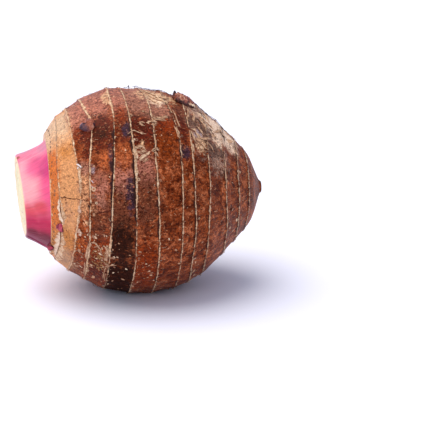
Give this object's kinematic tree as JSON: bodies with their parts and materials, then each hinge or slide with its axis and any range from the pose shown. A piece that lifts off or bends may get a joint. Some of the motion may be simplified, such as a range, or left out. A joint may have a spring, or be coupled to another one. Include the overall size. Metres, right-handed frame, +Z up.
{
  "type": "taro corm",
  "caption": "Whole brown taro corm, sold as a yam, lying on its side, ringed by leaf scars, with a cut pink leaf-stalk stub, side buds and a withered side shoot.",
  "frame": {"origin": "middle of the footprint box, on the surface that the corm rests on", "axes": "+X along the corm's axis from the cut stalk stub to the root end, +Z up, and -Y the side with the buds and the clearest rings"},
  "size_m": [0.1434, 0.1222, 0.1177],
  "materials": {
    "corm_skin": "dry fibrous brown skin with cream leaf-scar rings and dark patches, satin",
    "leaf_stalk": "fresh pink leaf-stalk flesh, streaked lengthwise, with a cream cut face, moist satin",
    "dry_bud": "dark purple-brown papery bud scales",
    "fresh_bud": "crimson fleshy bud scales, satin",
    "dry_shoot": "withered purple-brown shoot tissue, rough"
  },
  "bodies": {
    "root": {"corm": "corm_skin", "leaf_stalk_stub": "leaf_stalk", "upper_bud": "dry_bud", "lower_bud": "fresh_bud", "collar_bud": "fresh_bud", "back_crown_bud": "dry_bud", "back_belly_bud": "dry_bud", "side_shoot_stump": "dry_shoot", "side_shoot_scale": "dry_shoot"}
  },
  "joints": []
}
